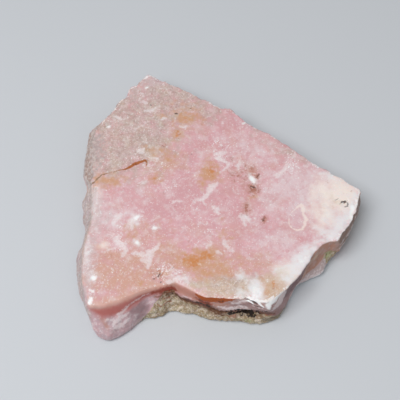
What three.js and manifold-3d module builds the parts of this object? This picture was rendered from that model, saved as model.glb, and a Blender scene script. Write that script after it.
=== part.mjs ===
// A rough slab of pink opal: a flat sawn face on top, broken sides, and a rind of host rock below.
// Millimetres, +Z up. The origin is under the middle of the slab, on the surface that it rests on.
import * as THREE from "three";
import { mergeVertices } from "three/addons/utils/BufferGeometryUtils.js";
import Module from "manifold-3d";

// Driving dimensions
const THICKNESS = 12.5;
const COLUMN_SPACING = 1.25;
const ROWS_PER_STEP = 4;

// The rind's lower edge stands this high, and the foot is set back from it by this much
const RIND_EDGE_HEIGHT = 1;
const UNDERCUT = 1.2;

// The slab's side is drawn as four closed contours, seen from above and listed anticlockwise from the right tip.
// Each point is [x, y] at the contour's own height, or [x, y, z] where the contour rises and falls.
// Every contour can be seen whole from the middle of the slab, so a side column is a ray through all four.

// The edge of the sawn face
const SAWN_EDGE = [
  [45.6, -2.2], [45.3, -1.1], [42.9, 0.7], [40.5, 3.0], [38.4, 4.4], [34.5, 7.3], [31.1, 9.6],
  [27.4, 13.1], [24.9, 15.2], [20.8, 19.1], [16.9, 22.1], [14.1, 23.8], [10.5, 26.6], [7.7, 29.2],
  [5.0, 32.3], [4.3, 33.4], [2.3, 33.4], [0.6, 33.8], [-2.7, 36.1], [-6.2, 38.2], [-11.9, 41.7],
  [-14.6, 43.7], [-16.4, 44.1], [-18.3, 45.7], [-21.1, 47.0], [-24.2, 49.0], [-26.1, 47.5],
  [-27.5, 45.2], [-28.3, 43.8], [-30.4, 43.5], [-31.2, 41.8], [-31.2, 40.3], [-32.4, 38.4],
  [-34.1, 36.8], [-35.9, 32.6], [-39.8, 27.7], [-41.4, 25.0], [-42.0, 21.9], [-42.3, 18.5],
  [-42.4, 15.0], [-41.9, 10.8], [-41.2, 6.7], [-40.8, 2.8], [-39.2, -1.4], [-39.3, -5.2],
  [-40.3, -9.0], [-40.6, -12.2], [-41.2, -15.8], [-42.0, -19.2], [-42.5, -25.0], [-42.5, -28.1],
  [-42.4, -33.0], [-41.3, -38.6], [-40.5, -42.4], [-39.5, -44.0], [-34.4, -43.5], [-30.8, -42.2],
  [-27.6, -40.9], [-23.8, -39.2], [-20.8, -38.2], [-16.9, -37.3], [-13.7, -35.6], [-10.5, -37.7],
  [-7.7, -39.3], [-5.0, -41.2], [-2.8, -41.1], [0.7, -41.3], [3.4, -41.5], [6.7, -41.4],
  [8.0, -40.7], [9.8, -41.6], [11.8, -42.7], [13.8, -42.6], [16.4, -40.8], [18.1, -39.5],
  [20.2, -38.1], [21.5, -36.3], [23.5, -34.1], [25.0, -32.3], [26.6, -29.5], [27.6, -28.5],
  [28.2, -26.5], [29.7, -24.8], [32.1, -22.0], [34.6, -20.9], [36.7, -20.9], [38.1, -18.9],
  [40.3, -15.9], [42.0, -13.3], [43.5, -10.4], [44.0, -7.7], [44.8, -5.2],
];

// The foot of the steep fresh break under the sawn edge
const FRESH_BREAK = [
  [46.0, -2.2, 8.5], [45.4, -0.8, 8.5], [41.5, 3.2, 8.5], [36.0, 7.6, 8.0], [31.6, 10.8, 8.5],
  [26.5, 15.4, 8.5], [21.6, 19.8, 8.0], [14.8, 24.8, 8.5], [8.6, 29.9, 8.0], [5.2, 34.0, 8.5],
  [0.4, 35.2, 8.5], [-6.0, 39.4, 8.0], [-14.5, 44.8, 8.5], [-20.8, 48.2, 8.5], [-24.6, 49.7, 9.0],
  [-27.2, 47.4, 8.5], [-30.8, 44.4, 8.5], [-32.6, 40.0, 8.0], [-36.6, 33.4, 8.5], [-40.8, 28.4, 8.5],
  [-44.3, 24.9, 9.5], [-44.2, 20.5, 8.5], [-44.9, 16.8, 8.0], [-45.0, 11.1, 8.0], [-44.4, 6.8, 8.0],
  [-43.0, 4.2, 8.5], [-42.4, 2.4, 8.5], [-42.8, -0.8, 8.0], [-43.2, -5.0, 7.5], [-43.0, -9.6, 7.0],
  [-42.6, -13.0, 7.5], [-43.0, -16.0, 7.5], [-43.4, -19.5, 7.0], [-43.9, -24.0, 7.0],
  [-43.8, -28.5, 7.0], [-43.2, -32.0, 7.0], [-42.2, -37.5, 8.0], [-41.0, -42.0, 8.5],
  [-39.6, -44.9, 9.0], [-36.0, -45.5, 8.5], [-34.0, -45.3, 8.3], [-31.0, -44.3, 8.3],
  [-29.2, -43.1, 8.5], [-26.5, -41.2, 8.8], [-24.2, -39.7, 9.0], [-21.0, -38.3, 9.2],
  [-17.0, -37.6, 9.0], [-13.9, -36.3, 8.5], [-11.1, -38.4, 8.5], [-8.3, -39.6, 8.5],
  [-5.3, -41.2, 9.5], [-2.6, -41.6, 9.5], [1.4, -41.8, 10.0], [5.9, -41.7, 10.5], [8.9, -42.3, 10.0],
  [12.5, -43.4, 10.0], [15.0, -43.9, 9.5], [16.8, -41.7, 9.5], [19.1, -39.4, 9.0], [21.1, -36.7, 8.0],
  [22.8, -34.6, 8.0], [24.6, -32.4, 7.5], [26.6, -29.4, 7.0], [28.6, -26.9, 7.0], [30.3, -25.2, 7.0],
  [32.1, -23.2, 7.0], [34.5, -21.1, 7.0], [37.1, -20.4, 7.0], [38.6, -19.4, 7.5], [40.3, -16.8, 8.0],
  [41.6, -14.5, 8.0], [42.6, -12.2, 8.5], [43.8, -10.3, 8.5], [44.8, -8.3, 8.5], [45.7, -6.0, 8.5],
  [46.1, -3.6, 8.5],
];

// The lower lip of the opal, which is the slab's widest line
const OPAL_LIP = [
  [45.6, -0.9, 6.0], [43.9, 0.9, 5.5], [40.8, 4.0, 5.0], [35.6, 8.6, 4.5], [31.0, 12.4, 5.0],
  [26.0, 16.6, 5.0], [21.4, 21.0, 4.5], [15.2, 26.0, 5.0], [9.0, 31.2, 5.0], [5.4, 35.4, 5.0],
  [0.0, 36.4, 4.5], [-6.4, 40.4, 4.5], [-14.8, 46.0, 5.0], [-20.6, 48.6, 5.0], [-25.0, 49.9, 5.0],
  [-28.6, 47.8, 5.0], [-31.6, 44.8, 4.5], [-33.8, 40.6, 4.5], [-37.6, 34.2, 5.0], [-41.8, 29.0, 5.0],
  [-44.6, 24.2, 5.5], [-45.2, 19.5, 5.0], [-45.6, 14.0, 5.0], [-45.3, 8.4, 5.0], [-44.5, 5.6, 5.0],
  [-43.8, 3.6, 5.0], [-45.2, 0.8, 4.0], [-45.4, -2.1, 4.0], [-44.8, -5.7, 4.0], [-44.2, -9.7, 4.0],
  [-43.5, -12.7, 4.0], [-43.6, -15.4, 4.0], [-44.8, -18.8, 3.5], [-45.9, -22.3, 3.2],
  [-45.7, -24.8, 3.0], [-45.1, -28.2, 3.0], [-44.6, -31.0, 3.0], [-43.8, -34.8, 3.0],
  [-42.6, -37.4, 4.0], [-40.8, -42.4, 5.0], [-39.5, -45.4, 6.0], [-38.7, -47.0, 4.0],
  [-36.5, -48.5, 3.0], [-33.5, -49.4, 3.0], [-31.8, -48.7, 2.5], [-29.4, -47.2, 2.5],
  [-26.8, -44.9, 2.0], [-24.9, -42.8, 2.2], [-22.9, -41.7, 2.8], [-20.9, -40.9, 5.0],
  [-19.1, -39.6, 6.0], [-16.6, -38.4, 6.5], [-13.9, -36.9, 6.8], [-10.8, -38.8, 6.5],
  [-7.5, -40.1, 6.5], [-5.0, -41.1, 6.0], [-2.5, -41.8, 6.0], [0.5, -42.3, 6.0], [3.9, -42.4, 6.0],
  [7.5, -42.3, 6.0], [10.9, -42.8, 6.0], [14.6, -42.9, 5.5], [17.4, -42.4, 5.0], [18.9, -40.7, 4.5],
  [20.7, -37.6, 4.5], [22.6, -34.4, 4.5], [24.4, -31.4, 2.8], [26.5, -29.9, 2.2], [28.1, -28.8, 2.0],
  [29.5, -27.9, 2.0], [32.1, -27.2, 2.0], [33.4, -26.1, 2.3], [34.8, -23.3, 3.2], [35.8, -22.0, 3.5],
  [36.8, -21.0, 4.0], [38.0, -19.4, 5.5], [39.0, -19.0, 6.0], [40.8, -15.9, 6.5], [42.3, -13.6, 6.5],
  [43.1, -11.3, 6.5], [44.3, -9.3, 6.5], [45.2, -7.4, 6.5], [45.8, -5.0, 6.5], [46.0, -2.8, 6.5],
];

// The lower edge of the rind, just above the surface that the slab rests on
const RIND_EDGE = [
  [41.6, -2.0], [39.5, 1.2], [34.8, 6.0], [29.6, 10.6], [24.8, 15.2], [19.6, 19.2], [14.0, 24.2],
  [8.0, 29.4], [4.6, 33.4], [-0.6, 35.0], [-7.0, 38.8], [-14.6, 44.0], [-20.0, 46.8], [-24.8, 48.2],
  [-28.0, 46.2], [-31.6, 42.0], [-33.6, 38.0], [-38.0, 31.6], [-41.6, 27.0], [-43.2, 21.0],
  [-43.6, 14.0], [-43.2, 7.5], [-42.6, 3.5], [-43.4, -1.0], [-43.0, -6.0], [-42.2, -11.0],
  [-42.2, -15.5], [-43.4, -20.0], [-44.2, -24.0], [-43.4, -29.5], [-42.0, -35.0], [-40.6, -40.0],
  [-39.4, -43.6], [-38.7, -46.4], [-37.2, -48.5], [-35.4, -49.2], [-33.7, -49.6], [-32.1, -49.0],
  [-30.3, -48.2], [-28.8, -47.0], [-27.0, -45.6], [-25.5, -43.9], [-24.4, -42.7], [-23.1, -41.9],
  [-20.0, -42.0], [-18.5, -41.3], [-17.6, -41.0], [-17.0, -40.0], [-16.1, -39.4], [-14.8, -39.2],
  [-13.6, -39.4], [-12.3, -40.0], [-11.1, -40.4], [-7.7, -40.7], [-6.1, -41.5], [-4.2, -42.2],
  [-2.1, -42.7], [0.1, -43.2], [5.3, -43.1], [6.6, -43.3], [7.8, -43.9], [9.3, -44.0], [13.1, -43.6],
  [16.8, -42.6], [18.1, -41.9], [19.4, -39.9], [21.8, -35.5], [23.2, -32.4], [25.7, -29.6],
  [28.6, -27.6], [31.4, -26.6], [32.8, -25.3], [33.9, -22.9], [35.2, -20.8], [36.3, -18.4],
  [36.9, -15.5], [38.6, -12.0], [40.4, -8.0], [41.6, -5.0],
];

// How far each contour's line wanders from its drawing, how rough the surface is from there down to the next
// contour, and the length over which both rise and fall
const CONTOURS = [
  { points: SAWN_EDGE, height: THICKNESS, wander: 0.15, roughness: 0.12 },
  { points: FRESH_BREAK, wander: 0.25, roughness: 0.22 },
  { points: OPAL_LIP, wander: 0.4, roughness: 0.5 },
  { points: RIND_EDGE, height: RIND_EDGE_HEIGHT, wander: 0.4, roughness: 0 },
];
const BUMP_LENGTH = 2.3;

// Bearings, in degrees, between which the stone broke along smooth planes, and the share of roughness left there
const SMOOTH_BREAKS = [[226, 264], [286, 301]];
const SMOOTH_SHARE = 0.3;

// Shallow shell-shaped breaks and hollows, each an ellipsoid taken out of the side: its middle, its half sizes,
// and its turn about the vertical in degrees
const HOLLOWS = [
  // The long scoop under the right edge
  { at: [37.6, -27.2, 13.2], half: [9.5, 4.6, 6.6], turn: 52 },
  // The recess between the opal and its rind, along the front
  { at: [8.2, -44.6, 4.4], half: [7.2, 3.4, 1.0], turn: 2 },
  { at: [-5.0, -43.0, 4.9], half: [6.0, 2.6, 0.9], turn: -18 },
  // Broad chips out of the lower part of the back, the left side and the right tip
  { at: [34.0, 18.0, 0.5], half: [13.0, 8.0, 6.5], turn: -42 },
  { at: [14.5, 37.5, 2.0], half: [9.0, 8.5, 7.5], turn: -30 },
  { at: [-9.0, 52.0, 1.0], half: [12.0, 10.0, 8.0], turn: -32 },
  { at: [-43.5, 40.5, 2.5], half: [11.0, 8.5, 7.0], turn: 52 },
  { at: [-53.2, 11.5, 1.0], half: [9.5, 9.5, 4.0], turn: 0 },
  { at: [-52.4, -12.5, 6.5], half: [9.6, 5.5, 5.0], turn: 0 },
  { at: [48.8, -8.0, 1.5], half: [6.6, 10.0, 4.6], turn: -12 },
];

// The iron-stained crack in the sawn face: points along it, each with the crack's half width there
const CRACK = [
  [-43.6, -0.6, 0.3], [-41.3, 1.3, 0.3], [-38.8, 4.2, 0.25], [-37.2, 5.1, 0.2], [-34.5, 5.6, 0.2],
  [-33.0, 6.4, 0.22], [-30.8, 6.7, 0.3], [-29.5, 7.5, 0.45], [-28.1, 8.7, 0.5], [-26.5, 9.7, 0.5],
  [-24.9, 10.3, 0.4], [-24.0, 9.8, 0.25], [-24.1, 8.4, 0.12],
];
const CRACK_DEPTH = 2.2;

// Small pits in the sawn face: [x, y, radius]
const PITS = [
  [40.1, -6.3, 0.75], [41.2, -5.5, 0.5], [-20.0, -32.3, 0.7], [-18.3, -33.9, 0.5], [-17.1, -35.2, 0.6],
  [10.9, 4.4, 0.5], [10.7, -0.6, 0.4], [14.0, -13.2, 0.4], [-23.4, 34.7, 0.4], [-14.5, 30.5, 0.35],
  [16.3, -38.2, 0.4],
];
const PIT_DEPTH = 0.55;

// A repeatable number from 0 to 1 for each point of an integer lattice
function latticeValue(i, j, k) {
  let h = Math.imul(i, 374761393) + Math.imul(j, 668265263) + Math.imul(k, 2147483647);
  h = Math.imul(h ^ (h >>> 13), 1274126177);
  return ((h ^ (h >>> 16)) >>> 0) / 4294967295;
}

// Smooth noise from -1 to 1
function noise(x, y, z) {
  const cell = [x, y, z].map(Math.floor);
  const ease = [x, y, z].map((v, axis) => {
    const t = v - cell[axis];
    return t * t * (3 - 2 * t);
  });
  let sum = 0;
  for (let corner = 0; corner < 8; corner++) {
    const step = [corner & 1, (corner >> 1) & 1, (corner >> 2) & 1];
    const weight = step.reduce((w, s, axis) => w * (s ? ease[axis] : 1 - ease[axis]), 1);
    sum += weight * latticeValue(cell[0] + step[0], cell[1] + step[1], cell[2] + step[2]);
  }
  return 2 * sum - 1;
}

// Where a contour crosses the ray from the origin at this angle, as { radius, z }
function crossing({ points, height }, angle) {
  const dx = Math.cos(angle);
  const dy = Math.sin(angle);
  let found = null;
  points.forEach((from, i) => {
    const to = points[(i + 1) % points.length];
    const ex = to[0] - from[0];
    const ey = to[1] - from[1];
    const share = -(from[0] * dy - from[1] * dx) / (ex * dy - ey * dx);
    const radius = (from[0] + share * ex) * dx + (from[1] + share * ey) * dy;
    if (share < -1e-6 || share > 1 + 1e-6 || radius <= 0) return;
    if (found && found.radius >= radius) return;
    const z = height ?? from[2] + share * (to[2] - from[2]);
    found = { radius, z };
  });
  return found;
}

// The angles of the side columns: every corner of the sawn edge, and even steps between corners
function columnAngles() {
  const angles = [];
  SAWN_EDGE.forEach((from, i) => {
    const to = SAWN_EDGE[(i + 1) % SAWN_EDGE.length];
    const steps = Math.max(1, Math.round(Math.hypot(to[0] - from[0], to[1] - from[1]) / COLUMN_SPACING));
    for (let s = 0; s < steps; s++) {
      const x = from[0] + ((to[0] - from[0]) * s) / steps;
      const y = from[1] + ((to[1] - from[1]) * s) / steps;
      angles.push(Math.atan2(y, x));
    }
  });
  return angles;
}

// How much of the roughness is left at this angle
function roughShare(angle) {
  const bearing = (THREE.MathUtils.radToDeg(angle) + 360) % 360;
  return SMOOTH_BREAKS.some(([from, to]) => bearing > from && bearing < to) ? SMOOTH_SHARE : 1;
}

// One side column from the sawn edge down to the foot, as [x, y, z] points
function sideColumn(angle) {
  const dx = Math.cos(angle);
  const dy = Math.sin(angle);
  const share = roughShare(angle);
  const bump = (radius, z) =>
    share * noise((radius * dx) / BUMP_LENGTH, (radius * dy) / BUMP_LENGTH, z / BUMP_LENGTH);
  const marks = CONTOURS.map((contour) => {
    const { radius, z } = crossing(contour, angle);
    return { radius: radius + contour.wander * bump(radius, z), z };
  });
  const column = [];
  marks.slice(0, -1).forEach((upper, m) => {
    const lower = marks[m + 1];
    for (let row = 0; row < ROWS_PER_STEP; row++) {
      const t = row / ROWS_PER_STEP;
      const z = upper.z + t * (lower.z - upper.z);
      const straight = upper.radius + t * (lower.radius - upper.radius);
      const radius = straight + (row > 0 ? CONTOURS[m].roughness * bump(straight + 40, z) : 0);
      column.push([radius * dx, radius * dy, z]);
    }
  });
  const edge = marks.at(-1);
  column.push([edge.radius * dx, edge.radius * dy, edge.z]);
  column.push([(edge.radius - UNDERCUT) * dx, (edge.radius - UNDERCUT) * dy, 0]);
  return column;
}

// The slab before its hollows: side columns, closed by a flat face above and below
function slabGeometry() {
  const columns = columnAngles().map(sideColumn);
  const rows = columns[0].length;
  const at = (column, row) => (column % columns.length) * rows + row;
  const faces = [];
  columns.forEach((_, c) => {
    for (let r = 0; r < rows - 1; r++) {
      faces.push(at(c, r), at(c, r + 1), at(c + 1, r + 1));
      faces.push(at(c, r), at(c + 1, r + 1), at(c + 1, r));
    }
  });
  const outline = (row) => columns.map((column) => new THREE.Vector2(column[row][0], column[row][1]));
  for (const [a, b, c] of THREE.ShapeUtils.triangulateShape(outline(0), [])) {
    faces.push(at(a, 0), at(b, 0), at(c, 0));
  }
  for (const [a, b, c] of THREE.ShapeUtils.triangulateShape(outline(rows - 1), [])) {
    faces.push(at(c, rows - 1), at(b, rows - 1), at(a, rows - 1));
  }
  return new THREE.BufferGeometry()
    .setAttribute("position", new THREE.Float32BufferAttribute(columns.flat(2), 3))
    .setIndex(faces);
}

// An ellipsoid for one hollow
function hollowGeometry({ at, half, turn }) {
  return new THREE.IcosahedronGeometry(1, 7)
    .scale(...half)
    .rotateZ(THREE.MathUtils.degToRad(turn))
    .translate(...at);
}

// A shallow bowl for one pit
function pitGeometry([x, y, radius]) {
  return new THREE.SphereGeometry(1, 10, 6)
    .scale(radius, radius, PIT_DEPTH)
    .translate(x, y, THICKNESS);
}

// A closed wedge along the crack, open above the sawn face and sharp at its bottom
function crackGeometry() {
  const above = THICKNESS + 1;
  const vertices = [];
  CRACK.forEach(([x, y, halfWidth], i) => {
    const before = CRACK[Math.max(0, i - 1)];
    const after = CRACK[Math.min(CRACK.length - 1, i + 1)];
    const along = new THREE.Vector2(after[0] - before[0], after[1] - before[1]).normalize();
    const side = new THREE.Vector2(-along.y, along.x).multiplyScalar(halfWidth);
    vertices.push(x + side.x, y + side.y, above, x - side.x, y - side.y, above);
    vertices.push(x, y, THICKNESS - CRACK_DEPTH * (0.35 + halfWidth));
  });
  const faces = [0, 2, 1];
  for (let i = 0; i < CRACK.length - 1; i++) {
    const here = 3 * i;
    for (const [a, b] of [[0, 1], [1, 2], [2, 0]]) {
      faces.push(here + a, here + b, here + 3 + b, here + a, here + 3 + b, here + 3 + a);
    }
  }
  const last = 3 * (CRACK.length - 1);
  faces.push(last, last + 1, last + 2);
  return new THREE.BufferGeometry()
    .setAttribute("position", new THREE.Float32BufferAttribute(vertices, 3))
    .setIndex(faces);
}

const wasm = await Module();
wasm.setup();

function toSolid(geometry) {
  const bare = geometry.clone();
  bare.deleteAttribute("normal");
  bare.deleteAttribute("uv");
  const merged = mergeVertices(bare, 1e-4);
  const vertProperties = new Float32Array(merged.attributes.position.array);
  const triVerts = new Uint32Array(merged.index.array);
  return new wasm.Manifold(new wasm.Mesh({ numProp: 3, vertProperties, triVerts }));
}

function toGeometry(solid) {
  const mesh = solid.getMesh();
  const geometry = new THREE.BufferGeometry()
    .setAttribute("position", new THREE.BufferAttribute(new Float32Array(mesh.vertProperties), 3))
    .setIndex(new THREE.BufferAttribute(new Uint32Array(mesh.triVerts), 1));
  geometry.computeVertexNormals();
  return geometry;
}

// The finished stone, moved so that the middle of its box is over the origin and its foot is at height 0
function opalSlab() {
  let solid = toSolid(slabGeometry());
  for (const hollow of HOLLOWS) solid = solid.subtract(toSolid(hollowGeometry(hollow)));
  for (const pit of PITS) solid = solid.subtract(toSolid(pitGeometry(pit)));
  solid = solid.subtract(toSolid(crackGeometry()));
  const geometry = toGeometry(solid);
  geometry.computeBoundingBox();
  const middle = geometry.boundingBox.getCenter(new THREE.Vector3());
  geometry.translate(-middle.x, -middle.y, -geometry.boundingBox.min.z);
  const material = new THREE.MeshStandardMaterial({ color: 0xd9aba6, roughness: 0.45, metalness: 0 });
  const mesh = new THREE.Mesh(geometry, material);
  mesh.name = "opal_slab";
  return mesh;
}

const stone = new THREE.Group();
stone.add(opalSlab());

export default stone;
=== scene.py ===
"""The pink opal slab as the photograph shows it: its surface, its colours, and a soft studio around it."""

import math

import bpy
import numpy as np
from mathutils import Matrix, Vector


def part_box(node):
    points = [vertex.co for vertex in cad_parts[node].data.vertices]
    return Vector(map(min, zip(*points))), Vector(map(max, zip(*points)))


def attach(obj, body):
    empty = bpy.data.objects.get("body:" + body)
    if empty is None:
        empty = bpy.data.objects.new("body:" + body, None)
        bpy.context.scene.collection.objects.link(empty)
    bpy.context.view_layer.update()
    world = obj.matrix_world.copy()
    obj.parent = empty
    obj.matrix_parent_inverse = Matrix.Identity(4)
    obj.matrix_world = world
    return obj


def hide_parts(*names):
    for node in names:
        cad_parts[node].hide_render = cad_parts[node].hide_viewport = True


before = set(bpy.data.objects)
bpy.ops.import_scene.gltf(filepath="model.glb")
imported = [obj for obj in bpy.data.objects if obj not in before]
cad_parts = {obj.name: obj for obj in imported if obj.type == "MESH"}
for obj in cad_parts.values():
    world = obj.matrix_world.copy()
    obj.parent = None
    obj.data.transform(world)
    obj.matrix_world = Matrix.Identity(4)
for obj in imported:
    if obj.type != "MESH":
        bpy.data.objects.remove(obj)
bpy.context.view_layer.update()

# Lengths below are in millimetres unless a comment says otherwise.
MM = 0.001
NODE = "opal_slab"

# The photograph's view: a camera in front of the stone, looking down at a point on the sawn face
AIM = (-6.3, -5.6, 12.5)
CAMERA_ELEVATION = math.radians(55)
CAMERA_DISTANCE = 300
LENS = 83.8
SENSOR = 36

# The sawn face's height, and the size of the surface's small faces. The flat underside, which is all that
# lies below UNDERSIDE, is thinned out until this share of all the faces is left.
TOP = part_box(NODE)[1].z / MM
FACE_SIZE = 0.34
UNDERSIDE = 0.05
FACES_KEPT = 0.65

# How often the CAD facets and the worn part of the sawn edge are rubbed down, and how hard the facets are,
# by bearing: little around the lilac facet's sharp foot
SMOOTHING_ROUNDS = 5
WEAR_ROUNDS = 24
SMOOTHING = [(0, 0.6), (224, 0.6), (228, 0.25), (240, 0.25), (244, 0.6)]

# The sawn edge is measured in steps of so many degrees, and for so many points at a time
RIM_STEP = 0.5
POINTS_AT_ONCE = 4000

# The spots that each form of the breaks is scattered on: how far apart they stand, their seed and, for the
# chips, the share of the spots that has one. CHIP_RADIUS is a share of the distance between the spots.
CRUMBS = (1.3, 41)
GRIT = (0.65, 51)
SCALLOPS = (5, 21)
FLAKES = (1.9, 31)
CHIPS = (2.4, 61, 0.6)
CHIP_RADIUS = 0.65

# How far the forms and marks stand out of the surface, or are sunk into it
CRUMB_HEIGHT = 0.45
GRIT_HEIGHT = 0.4
SCALLOP_HEIGHT = 0.55
FLAKE_HEIGHT = 0.3
HACKLE_HEIGHT = 0.3
RIND_SWELLING = 0.25
BREAK_GRAIN = 0.07
SAWN_WAVES = 0.03
GROOVE_DEPTH = 0.35
HOLLOW_DEPTH = 1
RECESS_DEPTH = 0.5
CHIP_DEPTH = 0.8
SPECK_DEPTH = 0.12

# How far the drawn marks waver, and the size of the waves, so that no edge is straight
WAVER = 0.4
WAVER_SIZE = 2.6

# Side places are given as a bearing, in degrees anticlockwise from +X seen from above, and a height.
# One degree is about this many millimetres along the side.
SIDE_MM_PER_DEGREE = 0.82

# Colours, as the sRGB values that a colour picker shows
PINK = (223, 172, 178)
DEEP_PINK = (213, 161, 166)
LIGHT_PINK = (222, 184, 190)
WEATHERED = (198, 173, 165)
HAZE = (208, 188, 188)
CHALK = (220, 206, 198)
EARTH = (168, 140, 130)
SAND = (212, 192, 166)
SALMON = (212, 166, 150)
PALE = (228, 202, 206)
CREAM = (251, 240, 231)
GREY = (178, 166, 164)
LILAC = (190, 164, 169)
LAVENDER = (158, 126, 130)
HEATHER = (176, 144, 140)
ASH = (190, 168, 166)
MAUVE = (152, 120, 118)
SCOOP_SHADE = (116, 84, 86)
TIP_SIDE_SHADE = (130, 108, 98)
RUSSET = (176, 130, 110)
ROSE = (182, 106, 100)
CORAL = (188, 132, 118)
BLUSH = (190, 134, 114)
GARNET = (148, 58, 34)
BEIGE = (212, 170, 154)
MIST = (238, 236, 238)
FROST = (252, 252, 252)
OCHRE = (208, 158, 122)
AMBER = (206, 134, 76)
EMBER = (180, 104, 56)
UMBER = (162, 76, 16)
RUST = (158, 92, 66)
RIND = (182, 166, 136)
TAN = (148, 118, 88)
RIND_END_SHADE = (104, 96, 84)
MOSS = (164, 168, 124)
WHITE = (236, 224, 225)
BROWN = (98, 50, 24)
DARK = (42, 32, 28)
FLOOR = (205, 209, 214)

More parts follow.
